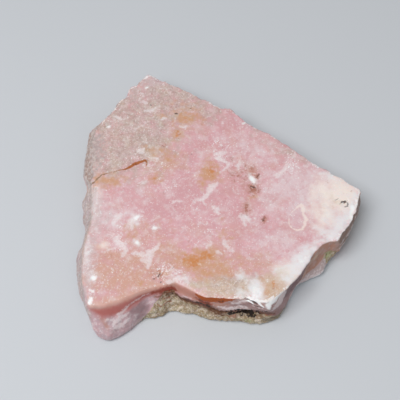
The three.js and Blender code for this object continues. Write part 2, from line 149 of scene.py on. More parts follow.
# Soft zones and stains on the sawn face: x, y, half width, half depth, strength and, where it is turned, the
# turn in degrees
FACE_SPOTS = {
    "weathered": [
        (-29.5, 24.5, 15, 18, 1), (-35.5, 11.5, 10, 9, 1), (-16.5, 37, 13.5, 7.5, 1, -25),
        (-4.5, 31.5, 5.5, 5, 0.8), (-23, 15, 8.5, 5, 0.8), (22.5, 15, 12.5, 3, 0.6, -38),
        (3, -36.5, 9, 4, 0.95), (-7, -36.5, 5, 2, 0.7), (13, 22, 4, 2.5, 0.55, -38),
    ],
    "deep": [
        (1, 27, 8, 4, 0.9, -35), (-10, -3, 9, 8, 0.75), (5, -10, 7, 6, 0.7), (12, -17, 6, 4, 0.6),
        (-22, -10, 6, 4, 0.6), (-12, 9, 7, 4, 0.6),
    ],
    "salmon": [
        (-30.5, -33.5, 12.5, 8.5, 1), (-22, -18, 7, 5.5, 0.6), (-15.5, -26.5, 6, 6, 0.8),
        (-37, -26.5, 6, 5.5, 0.7), (-1.5, -30, 11, 7, 0.7), (11, -29, 7, 4.5, 0.7), (2, 2.5, 6.5, 4, 0.5),
        (-17, 9, 8, 5, 0.6, 20), (14.5, -38.5, 3, 4, 1),
    ],
    "pale": [
        (26.5, -1.5, 12.5, 11, 0.9), (12.5, 15, 12.5, 6.5, 0.6, -38), (17.5, -22.5, 9, 6, 0.6),
        (-35, -11.5, 5.5, 8.5, 0.6), (-27, -1.5, 6, 4, 0.5), (-15, -36, 5, 2.5, 0.7, 20),
    ],
    "haze": [
        (-39.8, -10, 2.4, 9, 1), (-41, -29, 2.4, 12, 1), (-36, -12, 3.5, 6, 0.5), (-23.5, 45, 4, 4, 1),
        (-30, 40, 3, 4, 0.6, 30), (-33, 13, 4, 4, 0.5), (6, -35, 2.5, 2, 0.6),
    ],
    "sand": [
        (3, -38, 10, 3.2, 1.1), (16.5, -38, 4.5, 4.5, 1.3), (19, -35.5, 3.5, 4, 1.1),
        (-6, -37.5, 4, 2, 0.8, -15), (-22, 13.5, 3.5, 3, 0.7), (-15, 30, 3, 1.2, 0.6), (37, -6, 4, 3, 0.4),
        (-14, 21, 6, 4, 0.5, 40), (-22, 7.5, 5, 4, 0.45),
    ],
    "cream": [
        (38.5, -3.5, 7, 7, 1), (33.5, -11.5, 5, 6, 0.8), (20.5, -32.5, 3.5, 3.5, 0.9),
        (-39.5, -7, 1.6, 6, 0.5), (-36.5, -23, 2, 1.5, 0.6),
    ],
    # White frosting, with painted reflection along the right rim and at the front right
    "frost_and_glare": [
        (38.5, -14, 5, 3.5, 0.7, -40), (32.5, -17.5, 4, 3, 0.5, -40), (25, -28, 2.6, 5, 1, -40),
        (18.5, -32, 2, 2.5, 0.7), (10.6, -39.2, 2, 4, 1.3, 12), (8.4, -36.8, 1.5, 1.8, 0.7),
        (21.2, -34.4, 2.6, 2.6, 0.75), (-41, -8, 1.5, 4, 0.6), (6.4, -39.4, 2, 1.2, 0.7),
        (-41.4, -2.6, 1.6, 3.4, 0.8), (-41.6, -26, 1.4, 5, 0.6), (7.5, -40, 2.5, 1.2, 0.7),
        (5.8, -33.2, 1.2, 1.6, 0.9, 10), (35.5, 4, 4, 1.5, 0.6, -30), (-33, -13, 2.5, 2.5, 0.45),
        (-27.5, -13.5, 2.5, 3.5, 0.6), (-38.8, -34.2, 1.8, 1.8, 0.6), (-37, -16, 3, 5, 0.3),
        (-20.6, -16.3, 1.3, 1.3, 0.6), (-26, -21.9, 1.3, 1.3, 0.6), (-11.8, -35.2, 4, 1.6, 0.5),
    ],
    "ring core": [(24.6, -13.2, 3, 4.4, 1)],
    "blush": [
        (10.6, 3.4, 2.8, 5, 0.8), (11, -1.6, 2.2, 2.6, 0.9), (8.6, -8.7, 1.8, 3.4, 0.6),
        (14.1, -13, 1.2, 1.8, 0.6), (6, 5.4, 4.5, 3, 0.55), (9.6, 8, 3, 2.5, 0.55),
        (-19, -32.5, 2.6, 2.6, 0.6),
    ],
    "ochre": [
        (-10.5, 28.5, 4, 2.6, 0.95, -15), (-14, 21.5, 2, 2, 0.8), (-19, 29.5, 1.5, 1, 0.6),
        (-3.4, 5.5, 2.8, 3.8, 0.95), (-5.5, 0.5, 1.6, 2.5, 0.6), (-7.5, -29, 4.5, 4, 1),
        (-2.5, -26.5, 2.5, 2.5, 0.9), (-4.5, -33, 3.5, 2.5, 0.85), (2, -18.5, 2.5, 2, 0.6),
        (-36.2, 2.2, 5, 2.4, 0.8, 5), (-20.7, 3, 2, 2, 0.7, 30), (-24, 16.5, 1.5, 1, 0.5),
        (-12.5, 25, 3, 4, 0.45, 20), (-11.5, 33, 5, 3.5, 0.5, -20), (-28, -17.5, 2, 3.5, 0.5),
        (-24.5, -36.5, 1, 1.5, 0.55), (16.5, -36.5, 1.2, 1.6, 0.45), (12.5, -35, 1, 3.5, 0.4),
        (10.5, -4.5, 1.5, 1, 0.6), (-16.5, -33, 2, 1, 0.55), (35, -8.5, 2, 1, 0.35),
        (6, -30, 1.5, 3, 0.35), (1, -14, 1.5, 2, 0.3), (-18, 13, 6, 3, 0.5, -20), (-2, -31, 5, 4, 0.7),
        (14.5, -39, 1.5, 2, 0.5),
    ],
    "amber": [
        (-8.5, -28.5, 2.5, 2, 0.9), (-4.5, -26.5, 2, 1.5, 0.8), (-2.5, 6, 1, 2, 0.6),
        (-14, 21.5, 0.8, 1, 0.6), (-20.8, 3.4, 0.9, 0.8, 0.6), (16, -36.8, 0.7, 0.9, 0.5),
    ],
    "rust": [
        (11.1, -1.2, 1.5, 1.8, 1), (10.1, 7.3, 2, 1.6, 0.5), (12.3, 4.1, 0.7, 2, 0.7),
        (8.6, -8.7, 1, 2.3, 0.7), (14.1, -13.1, 0.6, 1, 0.9), (3.5, 10.2, 2.6, 1.6, 0.4),
        (6.4, 4.5, 4.2, 2.4, 0.45), (6.3, -11.8, 0.8, 0.8, 0.55), (-13.6, 21.8, 0.5, 1.6, 0.5),
        (-19.5, 17, 1.5, 1, 0.5), (-9.6, 33.3, 0.7, 0.5, 0.7), (-6.1, 25.7, 0.7, 0.5, 0.6),
        (-19.2, -33.1, 1.2, 1.1, 0.6, -20), (-23.9, 10.2, 0.7, 2, 0.4), (16.3, -38, 0.5, 1.1, 0.6, -30),
    ],
    "crumbled": [
        (-42.6, 12.5, 3, 6, 1, -6), (-41.5, 18, 2, 4, 0.7, -20), (-42, 2, 1.5, 2, 0.6),
    ],
}

# Marks with a clear edge on the sawn face, each a stroke through x, y, half width
FACE_STROKES = {
    "white": {
        "zigzag, first bar": [(-1.4, 12.8, 0.5), (0.6, 13.2, 1), (2.9, 13.8, 0.5)],
        "zigzag, slope": [(-0.8, 11.3, 0.8), (1.2, 10.4, 0.8), (2.8, 9.2, 0.6), (4.4, 9, 0.3)],
        "zigzag, tail": [(2.8, 8.6, 0.7), (1.5, 6.9, 0.4), (0.2, 5.3, 0.2)],
        "upright dash": [(6.9, 10.2, 0.2), (6.3, 8.2, 0.5), (6.4, 6.3, 0.2)],
        "long streak": [
            (-0.7, 1.2, 0.4), (-2.7, -0.4, 1.1), (-3.5, -2, 1.2), (-4, -3.6, 0.8), (-5.5, -5.2, 0.9),
            (-8, -6.1, 0.3),
        ],
        "long streak, spur": [(-5, -6.1, 0.3), (-4.2, -7.3, 0.4)],
        "hook": [(-2.3, -8.5, 0.3), (-1, -9.1, 0.9), (-0.7, -11.2, 0.4)],
        "bright spot's frame": [(10.1, 4.1, 0.4), (11.2, 2.4, 1), (11.5, 0.6, 0.3)],
        "feather": [(22.1, 8.2, 0.4), (21.3, 6.4, 0.8), (19.6, 4.4, 1), (18.4, 4.6, 0.5)],
        "feather's edge": [(22.1, 8.2, 0.4), (21.6, 5.6, 0.25), (20.6, 4, 0.3)],
        "right cloud of the left pair": [
            (-26, -11.8, 0.9), (-26.9, -13, 1.2), (-28.4, -14.1, 1), (-27.9, -16.3, 0.5),
        ],
        "left cloud of the left pair": [(-31.3, -11, 0.5), (-32.5, -12.5, 1.3), (-33.7, -14.1, 0.8)],
        "left patch": [
            (-31.8, -19.3, 0.4), (-32.5, -20.8, 1), (-30.7, -23, 1.2), (-29.5, -24.5, 0.7),
            (-30.2, -26.9, 0.3),
        ],
        "scratch below the left patch": [(-37, -25.4, 0.1), (-33.5, -24.4, 0.2), (-30, -23.4, 0.1)],
        "triangle, long side": [
            (-18.6, -22.3, 0.2), (-20.1, -24.1, 0.8), (-21.9, -26, 1.4), (-22.2, -31.2, 0.3),
        ],
        "triangle, upper arm": [(-22.8, -26.2, 1), (-25.3, -25.8, 0.8), (-27.3, -25.2, 0.3)],
        "triangle, lower arm": [(-22.7, -28.1, 1), (-24.3, -28, 0.4)],
        "flake left of the orange stain": [(-4.4, -23.4, 0.6), (-3, -22.7, 0.5)],
        "flakes above the orange stain": [(1.1, -21.4, 0.7), (1.7, -23, 0.6), (3.8, -24.7, 0.4)],
        "flake on the orange stain": [(-0.8, -24.9, 0.4), (0.3, -25.8, 0.4)],
        "wedge": [(6.6, -11.6, 0.15), (7.4, -13.6, 0.5), (8.4, -15.6, 0.3)],
        "flakes below the right tip": [(33.6, -12.5, 0.5), (34, -14.3, 0.6)],
        "flake right of the ring": [(29.4, -16.5, 0.4), (30.4, -16.2, 0.5)],
        "cream streak": [(-15.4, -7.1, 0.4), (-13.8, -6.1, 0.5), (-12.5, -5.8, 0.2)],
        "fleck near the left edge": [(-35.3, 29.5, 0.5), (-33.9, 28.6, 0.7)],
        "heart above the crack": [(-26.9, 15.1, 0.5), (-25.8, 13.8, 0.7), (-25.2, 15.5, 0.5)],
        "loop near the far corner": [(-26.8, 40.2, 0.1), (-25.5, 39.5, 0.15), (-27.7, 37, 0.2)],
        "patch near the far corner": [(-26.3, 36.1, 0.5), (-24.5, 35.4, 0.6)],
        "bow near the far corner": [(-20.2, 42.3, 0.15), (-18.4, 42.1, 0.15), (-17, 40.4, 0.15)],
        "grey cloud": [(-25.4, 32, 0.4), (-23.4, 32, 0.6), (-21.7, 32.9, 0.6), (-20.3, 34, 0.4)],
        "vein": [(-29, 22.9, 0.05), (-27.4, 24.6, 0.15), (-25.6, 25.7, 0.15), (-22.4, 29.3, 0.2)],
        "arc by the brown stain": [(-15.8, 26.2, 0.1), (-15, 27.3, 0.15), (-14.9, 28.8, 0.05)],
        "cream spot": [(-19.6, 28.1, 0.4), (-18.3, 28.4, 0.6)],
        "spot under the brown stain": [(-12.6, 24.8, 0.7), (-11.4, 24.6, 0.8)],
        "patch right of the crack": [(-22.7, 11.5, 0.5), (-20.7, 11.1, 0.5)],
        "lilac streak": [(-25.8, 1, 0.3), (-23.7, 1.8, 0.3)],
        "notch": [
            (-16.1, -35.8, 0.3), (-14.3, -34.9, 0.6), (-12.5, -34.5, 0.8), (-10.7, -35.2, 0.5),
            (-9.7, -36.5, 0.2),
        ],
        "fleck near the right tip": [(32.7, 5.3, 0.5), (34.7, 5.3, 0.7)],
    },
    "ring": {
        "all round": [
            (24.6, -8.4, 0.3), (26.5, -7.9, 0.6), (26.9, -9.6, 0.6), (26.6, -10.8, 0.3), (27.3, -13, 0.45),
            (27.1, -15.3, 0.4), (26.2, -16.8, 0.3), (24.3, -17.1, 0.25), (22.7, -16.4, 0.2),
            (21.6, -14.1, 0.15), (22, -11.8, 0.1), (23.4, -10, 0.15), (24.6, -8.4, 0.3),
        ],
    },
    # The white veil along the right rim and scoop: partly white frosting, partly painted reflection
    "veil_and_glare": {
        "right rim and scoop": [
            (44, -3, 0.3), (42.2, -8.5, 1), (40.6, -12.2, 1.6), (37.6, -16.4, 2), (34.6, -19.4, 1.4),
            (31, -21.4, 0.6), (27, -26.4, 1.4), (24, -31, 2), (21.5, -34.4, 1),
        ],
        "haze by the wedge": [(8.5, -12.2, 0.3), (9.8, -13.5, 0.6)],
    },
    "bright": {
        "near dot": [(-20.7, -16.3, 0.5), (-20.4, -16.3, 0.5)],
        "second dot": [(-26.2, -21.9, 0.55), (-25.9, -21.9, 0.55)],
        "large dot": [(-39, -34.2, 0.9), (-38.8, -34.2, 0.9)],
        "corner patch": [(-39.2, -41.8, 0.5), (-39.2, -43, 0.6)],
        "two flecks above the corner": [(-39.6, -38.7, 0.3), (-38.5, -39.4, 0.4)],
        "left cloud's core": [(-26.2, -12, 0.6), (-26.5, -12.6, 0.6)],
        "top-left fleck": [(-37.8, 24.6, 0.5), (-37.2, 25, 0.4)],
        "far-corner flecks": [(-25.4, 42.6, 0.3), (-24.9, 42.9, 0.3)],
        "back-edge flecks": [(8.7, 26.5, 0.4), (9.5, 27, 0.3)],
        "back-edge sparkle": [(12.2, 24.8, 0.3), (12.7, 24.5, 0.3)],
        "bright spot": [(10.6, 3.4, 0.5), (11.2, 2.2, 0.7), (11.4, 1.2, 0.3)],
        "sparkle": [(1.4, 27.2, 0.25), (1.4, 26.2, 0.2)],
        "tip edge": [(42.6, -6.5, 0.3), (42.5, -8.6, 0.6), (41.8, -10.6, 0.5), (41.4, -12.4, 0.3)],
    },
    "dark": {
        "far-corner hole": [(-23.3, 34.8, 0.2), (-23.1, 34.6, 0.2)],
        "brown stain's corner": [(-14.6, 30.7, 0.3), (-13.8, 30.5, 0.2)],
        "dashes on the back rim": [(-9.9, 33.3, 0.15), (-9.3, 33.1, 0.2)],
        "triangle's foot": [(-19.2, -33.9, 0.2), (-18.7, -32.8, 0.2)],
        "foot's speck": [(-20.5, -34.8, 0.2), (-20.2, -34.6, 0.2)],
        "foot's lower speck": [(-18.2, -36, 0.15), (-18, -35.7, 0.2)],
        "foot's branch": [(-15.1, -31.6, 0.05), (-14.3, -30.6, 0.15)],
        "under the bright spot": [(10.5, -0.2, 0.2), (11.6, -0.8, 0.25)],
        "rust dot": [(13.8, -13.5, 0.2), (14.4, -12.4, 0.1)],
        "beside the bright spot": [(12.7, 5, 0.15), (12.3, 3.6, 0.1)],
        "tip's arc": [
            (38.6, -7.4, 0.15), (39.2, -6.2, 0.3), (40.6, -6, 0.35), (41.1, -6.6, 0.2), (40.9, -7.7, 0.25),
            (39.9, -8.3, 0.15),
        ],
        "tip's smudge": [(37.9, -5.2, 0.15), (36.8, -6, 0.1)],
        "speck in the left streak": [(-9.2, 13.2, 0.15), (-9, 13.1, 0.15)],
        "lone speck, front right": [(13, -29.8, 0.12), (13.1, -29.8, 0.12)],
        "lone speck, left": [(-24.1, 3.6, 0.15), (-23.9, 3.5, 0.15)],
    },
    "fill": {
        "crack, up to its hooked end": [
            (-37.2, 5, 0.05), (-33, 6.4, 0.12), (-31.5, 6.6, 0.15), (-29.4, 7.7, 0.45), (-28, 8.9, 0.6),
            (-24.5, 10.5, 0.35),
        ],
        "crack's hooked end": [(-24.4, 10.4, 0.3), (-23.9, 9.7, 0.15), (-24, 8.3, 0.05)],
    },
}

# The crack in the sawn face, with how wide it stands open, and how deep it is unfilled from left to right
CRACK = [
    (-43.6, -0.6, 0.2), (-41.3, 1.3, 0.25), (-38.8, 4.2, 0.2), (-37.2, 5, 0.12), (-34.5, 5.6, 0.1),
    (-33, 6.4, 0.12), (-30.7, 6.8, 0.2), (-29.4, 7.7, 0.4), (-28, 8.9, 0.5), (-26.4, 9.8, 0.5),
    (-24.5, 10.5, 0.35), (-23.9, 9.7, 0.15), (-24, 8.3, 0.05),
]
CRACK_DEPTHS = [(-44, 0.7), (-40, 0.4), (-30, 0.35)]

# Farther than this from the stone's middle, the crack runs out through the side and stays open
CRACK_END = 43

# Colour bands along the side: bearing, lowest height, highest height
SIDE_BANDS = {
    "lilac": [[(222, 0, 13), (228, 0, 13), (236, 0, 9), (242, 1, 9.4), (245, 4, 6)]],
    "lip": [[(300, 0, 4.5), (306, 0, 5.5), (318, 0, 5.4), (328, 0, 6), (332, 0, 4)]],
    "lip edge": [[(299, 0, 1.6), (304, 0, 2.4), (312, 0, 2), (320, 0, 2.4), (326, 0, 3), (331, 0, 3.6)]],
    "heather": [[(258, 6.2, 9.6), (264, 6.2, 10), (270, 6, 10.8), (280, 6, 13), (290, 4, 13), (296, 8, 13)]],
    # Painted shade on the side under the right tip
    "tip_side_shade": [[(332, 7, 12), (338, 5, 13), (350, 5, 13), (356, 8, 12)]],
    "dusk": [[(180, 0, 9), (186, 0, 10.6), (204, 0, 10.8), (222, 0, 11), (228, 0, 9)]],
    "mauve": [[(287, 3, 8), (291, 2, 9), (294, 0, 10), (298, 0, 13), (306, 6, 13), (312, 9, 13)]],
    # Painted shade on the right-hand scoop
    "scoop_shade": [[(296, 8, 12), (299, 6.6, 13), (303, 6.6, 13), (308, 8.4, 13), (313, 11, 13)]],
    "russet": [
        [
            (304, 8, 13), (308, 5, 13), (318, 5, 13), (326, 6.5, 13), (332, 5, 13), (338, 1, 13),
            (350, 1, 13), (358, 2, 13),
        ],
    ],
    "rose": [
        [
            (228, 10.6, 11), (230, 9.2, 11.4), (232, 8.1, 11.6), (235, 7.8, 11.8), (237.4, 8.1, 12),
            (239.6, 8.5, 12.2), (241.7, 9.2, 12.4), (243.5, 9.8, 12.4), (246, 9.8, 12.4),
        ],
    ],
    "coral": [
        [(243, 9.8, 12.4), (245, 9.8, 12.4), (249, 9, 12.4), (252, 9, 12), (258, 9.4, 12), (262, 9, 12)],
    ],
    "rind": [
        [
            (240, 0, 1), (241.5, 0, 3.6), (243, 0, 5.5), (244.5, 0, 9), (246, 0, 10.2), (248, 0, 9.6),
            (250, 0, 7.4), (256, 0, 6.7), (266, 0, 6.7), (274, 0, 6), (284, 0, 6), (290, 0, 4),
            (298, 0, 1.2),
        ],
        [(325, 1.5, 5), (327, 1.5, 6.6), (329.5, 2, 6.8), (332, 2, 5)],
        [
            (-16, 0, 2), (-8, 0, 5), (2, 0, 6), (10, 0, 4), (24, 0, 5.5), (40, 0, 3), (55, 0, 5),
            (70, 0, 3.5), (88, 0, 6.5), (104, 0, 4), (116, 0, 2.5), (128, 0, 5), (140, 0, 7),
            (152, 0, 3), (175, 0, 1),
        ],
    ],
    "weathered": [[(146, 3, 13), (160, 0, 13), (190, 0, 13), (210, 0, 13), (226, 0, 12), (230, 3, 9)]],
    "crumbled": [
        [(150, 9, 13), (154, 7, 13), (162, 6.6, 13), (170, 6.6, 13), (176, 7.6, 13), (180, 10, 13)],
    ],
}

# How wide a band's soft border is, where it isn't the usual width
BAND_SOFTNESS = {
    "rose": 1.2, "coral": 1.4, "scoop_shade": 1.6, "dusk": 1.6, "crumbled": 2, "lip edge": 0.6, "russet": 1.2,
    "tip_side_shade": 1.4, "weathered": 2.4,
}
USUAL_SOFTNESS = 0.8

# Where the hidden back is clouded with colour, by bearing, and its clouds: mask, size, seed and amount
CLOUDED = [(0, 0), (12, 0), (24, 1), (136, 1), (152, 0)]
CLOUDS = [("lilac", 12, 101, 0.45), ("heather", 9, 111, 0.35)]

# Smaller marks on the side: bearing, height, half length, half height, strength
SIDE_SPOTS = {
    "rust": [
        (174, 8.6, 2, 1.6, 0.5), (20, 6, 5, 0.9, 0.6), (60, 5.6, 6, 0.8, 0.6), (96, 7, 5, 1, 0.6),
        (140, 7.6, 5, 1, 0.5), (289, 5.5, 2, 1, 0.5),
    ],
    "moss": [
        (327, 5.6, 1.9, 1.7, 0.9), (281, 2, 4, 1.2, 0.5), (292, 2.4, 2.5, 1, 0.5), (40, 1.5, 5, 1.2, 0.6),
        (110, 2, 5, 1.5, 0.6), (356, 2, 4, 1.5, 0.6), (242, 2, 2, 1.2, 0.5),
    ],
    "pearl": [
        (310, 3.4, 3, 0.7, 0.9), (316, 2.6, 4, 0.6, 0.9), (334, 8.4, 1.5, 0.8, 0.8),
        (339, 8.6, 1.5, 0.7, 0.9), (343, 7.4, 1.6, 0.9, 0.8), (347, 8.6, 1.2, 0.7, 0.9),
        (352, 8, 1.8, 0.8, 0.8), (358, 8.4, 2, 0.8, 0.7),
        (158, 7, 4, 0.5, 0.9), (167, 7.4, 4, 0.6, 1), (176, 8, 4, 0.5, 0.9), (171, 9.6, 1.8, 1.5, 0.9),
        (335, 6, 2.4, 0.6, 1), (340, 6.8, 2, 0.6, 1), (346, 6.2, 2.4, 0.6, 1), (353, 6, 3, 0.6, 0.9),
        (30, 9, 6, 1.5, 0.6), (80, 10, 7, 1.5, 0.6), (128, 10, 6, 2, 0.5), (200, 7, 8, 2, 0.4),
        (187, 11.4, 5, 1.2, 1.1),
    ],
    "amber": [
        (100, 9, 4, 1.2, 0.6), (14, 9.5, 4, 1, 0.5), (190, 3, 4, 1.2, 0.5),
    ],
    "sand": [
        (318, 9.4, 3.5, 1.2, 0.7), (311, 7.4, 2, 0.8, 0.5),
    ],
}

# Marks on the front side, which is in front of FRONT_DEPTH and to the left of FRONT_END: strokes through x,
# height, half width
FRONT_DEPTH = -30
FRONT_END = 22
FRONT_STROKES = {
    "lavender": {
        "shaded hollow of the facet": [(-27, 7.2, 1.4), (-24.6, 7, 1.8), (-23.4, 5, 1.8), (-25.2, 3, 0.8)],
        "facet's brown lip": [(-33, 3.4, 0.3), (-31, 3.9, 0.4), (-28.7, 3.2, 0.3)],
    },
    "mauve": {
        "under the corner": [(13.8, 7.4, 0.8), (15.6, 6, 1.2), (18.2, 6, 1.6)],
        "right of the corner": [(18.2, 6, 1.4), (20, 8.2, 0.7), (20.6, 10, 0.4)],
        "corner's shade": [(14.8, 9.1, 0.2), (15.7, 10.2, 0.25), (16.7, 10.6, 0.25), (17.6, 11.5, 0.15)],
        "lens's shade": [(2, 9.8, 0.4), (5, 9.6, 0.7), (8.4, 9.3, 1), (12, 9.3, 0.9)],
        "strip over the contact": [(-12, 7.5, 0.3), (-9, 7.7, 0.35)],
    },
    "blush": {
        "facet's pink part": [(-35.6, 7.6, 0.3), (-34.8, 5, 0.3)],
        "right of the notch": [(-13.2, 9.9, 1.2), (-11, 10.2, 1.8), (-8.6, 10.4, 1.8), (-6.2, 10.6, 1.4)],
        "left of the lens": [(-4.4, 9.2, 0.9), (-2.2, 9, 1), (0.4, 9.2, 0.8), (2.4, 9.4, 0.4)],
    },
    "garnet": {
        "notch's deep rim": [(-20.6, 10.6, 0.5), (-18, 10.4, 1), (-15.8, 10.2, 1.3), (-13.8, 9.4, 0.7)],
        "orange rim's dark end": [(-7.2, 10, 0.4), (-6, 9.6, 0.9), (-4.4, 9.4, 1.1), (-3, 8.8, 0.5)],
    },
    "rust": {
        "upper veins": [(-20, 8.5, 0.2), (-18.6, 8.4, 0.3), (-17.5, 8.9, 0.3), (-14.3, 8.3, 0.2)],
        "middle veins": [(-18.4, 7, 0.2), (-17.2, 6.8, 0.25), (-15.8, 6.4, 0.25)],
        "lower veins": [(-19.3, 5.9, 0.2), (-18, 4.6, 0.3), (-16.7, 5.2, 0.25), (-15.2, 4.4, 0.2)],
        "under the black patch": [(1, 4.4, 0.3), (4.5, 3.4, 0.4)],
        "beside the black patch": [(10.8, 5, 0.5), (13.6, 5, 0.6), (16, 4.4, 0.3)],
    },
    "umber": {
        "orange rim": [
            (-7, 11.4, 0.4), (-5.6, 11.3, 0.9), (-3, 11.2, 1.1), (-0.8, 11.3, 1.1), (1.6, 11.6, 0.9),
            (3.6, 12, 0.5), (5.5, 12.4, 0.2),
        ],
    },
    "stain": {
        "orange rim's dark spot": [(-6.8, 10.4, 0.3), (-6, 10, 0.6)],
        "orange rim's second spot": [(-4.6, 9.6, 0.5), (-3.8, 9.2, 0.4)],
        "orange rim's fleck": [(-0.8, 10.8, 0.3), (0.4, 11, 0.2)],
    },
    "pearl": {
        "ridge": [
            (-31.5, 7.6, 0.35), (-29, 8.8, 0.35), (-27, 9.6, 0.25), (-24.3, 9.8, 0.2), (-21.5, 10.4, 0.1),
        ],
        "facet streak": [(-32.7, 5.8, 0.5), (-30.4, 6.8, 0.7), (-28.6, 7.2, 0.3)],
        "lower facet streak": [(-32.4, 5, 0.4), (-30.6, 4.8, 0.7), (-28.4, 5, 0.4)],
        "facet dot": [(-34.6, 7.2, 0.3), (-34.3, 7.2, 0.3)],
        "line right of the notch": [(-11.4, 8.3, 0.2), (-10, 8.4, 0.35), (-9, 8.7, 0.15)],
        "lens, left and middle": [
            (-0.6, 8.2, 0.3), (0.6, 8, 0.45), (1.6, 7.6, 0.45), (3.1, 8.2, 0.4), (4.3, 7.6, 0.5),
            (5.4, 8.7, 0.45), (8.2, 8.2, 0.3),
        ],
        "lens, lower line": [(0.8, 7.3, 0.15), (4.6, 7.2, 0.2), (9, 7.6, 0.2)],
        "lens, upper": [(5.6, 11, 0.2), (6.8, 11.2, 0.5), (8, 10.8, 0.2)],
        "lens, right": [(9.8, 9.9, 0.15), (12.6, 9.9, 0.2)],
        "corner, right of its shade": [(16.2, 8.4, 0.6), (17.8, 9.2, 1.4), (18.8, 10.8, 1.1)],
        "lens's rim": [(3.4, 10, 0.4), (5.2, 10.3, 0.4), (6.4, 10, 0.2)],
        "corner, low streak": [(15, 7.6, 0.2), (17, 7.8, 0.4), (18.6, 8, 0.2)],
    },
    # The white corner facet: white stone, painted brighter still as a painted highlight
    "bright": {
        "corner": [
            (14.8, 9.2, 0.15), (14.5, 10.4, 0.6), (14.2, 11.5, 0.7), (15.2, 11.7, 1), (16.4, 11.8, 1.1),
            (17.6, 12.2, 0.8), (18.8, 12.4, 0.5),
        ],
    },
    "shade": {
        "under the notch and right of it": [
            (-19, 8.4, 0.8), (-16, 7.6, 1.2), (-14, 7.2, 1), (-11, 6.8, 0.7), (-8, 6.6, 0.8),
            (-5, 6.6, 1.6),
        ],
        "above and beside the black patch": [
            (-5, 6.6, 1.8), (0, 5.4, 1.4), (4, 5, 1.4), (11, 5.6, 1.4), (14, 5.6, 1.2), (17, 4.6, 1),
        ],
    },
    # Painted shade on the rind's right end
    "rind_end_shade": {
        "rind's right end": [(13, 2.8, 0.4), (15.4, 2.4, 1.2), (18, 2.4, 1.2)],
    },
    # Painted glints on the hackles' ridges
    "hackle_glint": {
        "upper": [(7.6, 12.1, 0.15), (8.8, 12, 0.4), (10.2, 11.6, 0.2)],
        "lower": [(7.3, 11.2, 0.1), (8.6, 11, 0.35), (9.8, 10.7, 0.15)],
        "right": [(10.2, 12.1, 0.15), (11.4, 11.6, 0.35), (13, 10.9, 0.15)],
    },
    # Painted shade in the grooves between the hackles
    "groove": {
        "above the hackles": [(5.6, 12.2, 0.1), (7.4, 12.4, 0.2), (8.8, 12.5, 0.15)],
        "between the left hackles": [(7.6, 11.6, 0.1), (9.2, 11.4, 0.25), (11, 10.9, 0.15)],
        "under the hackles": [(8, 10.3, 0.05), (10.4, 10.2, 0.2), (13, 10.2, 0.1)],
    },
    # The black hollow: partly dark mineral, partly painted shade in its recess
    "hollow": {
        "upper line": [(2, 6.6, 0.1), (5, 6.6, 0.4), (8.5, 6.8, 0.6), (11.5, 7.2, 0.3), (14, 7.6, 0.1)],
        "black part": [(2.6, 5.4, 0.5), (5, 5, 1), (8, 5.4, 1.5), (10.8, 5.6, 0.9)],
        "lower specks": [(8.6, 3.9, 0.3), (9.6, 4.1, 0.5), (10.4, 3.8, 0.3)],
    },
    # A dark line where the opal meets the rind: partly its dark colour, partly painted shade where the opal
    # overhangs the rind
    "contact": {
        "from the notch to the black patch": [
            (-16.4, 8.2, 0.3), (-13.7, 7.5, 0.6), (-12.2, 6.8, 0.7), (-8.2, 7, 0.8), (-6, 7.8, 1.2),
            (-4, 7.8, 1.1), (-2.9, 6.8, 0.9), (-0.8, 5.8, 0.8), (3.4, 6, 0.7),
        ],
        "haze on the rind": [(-6, 6, 0.2), (-3.6, 5.2, 0.3), (0.6, 4.4, 0.3)],
        "behind the black patch": [
            (3.4, 5.8, 0.6), (6, 5.4, 1), (11, 5.8, 0.9), (13.6, 6.4, 0.4), (16.4, 4.8, 0.3),
        ],
    },
}

# How far the grain may carry a stroke's edge, by mask
STROKE_FRINGE = {
    "white": 0.8, "ring": 0.5, "veil_and_glare": 3, "bright": 0.6, "pearl": 0.6, "lavender": 1.4, "mauve": 1.2,
    "blush": 1.4, "umber": 0.6, "garnet": 1, "stain": 0.6, "hollow": 0.7, "contact": 0.9, "shade": 1.5,
    "rind_end_shade": 1.2,
}
USUAL_FRINGE = 0.3

# How white, how rounded and how chipped the sawn edge is, by bearing
EDGE_WHITENESS = [
    (0, 0.9), (20, 0.5), (60, 0.4), (108, 0.7), (118, 0.8), (130, 0.6), (150, 0.5), (165, 0.2), (184, 0),
    (258, 0), (270, 0.5), (288, 1), (300, 0.6), (310, 0.2), (326, 0.2), (332, 0.8), (350, 1),
]
EDGE_ROUNDING = [
    (0, 0), (135, 0), (150, 0.8), (166, 0.8), (172, 0.2), (180, 0.2), (186, 0.8), (228, 0.8), (234, 1),
    (244, 1), (250, 0.4), (262, 0.15), (270, 0),
]
EDGE_CHIPPING = [
    (0, 0.5), (12, 0.2), (40, 0.3), (120, 0.8), (150, 0.8), (180, 0.3), (228, 0), (258, 0.2), (280, 0.6),
    (300, 0.3), (350, 0.8),
]

# How rough the broken side is, by bearing: smooth where it parted like glass
BREAK_ROUGHNESS = [
    (0, 1), (180, 0.9), (222, 0.9), (228, 0.8), (246, 0.8), (262, 0.4), (268, 0.7), (284, 0.7), (288, 0.5),
    (300, 0.5), (308, 0.6), (326, 0.6), (332, 1.3), (350, 1.3),
]

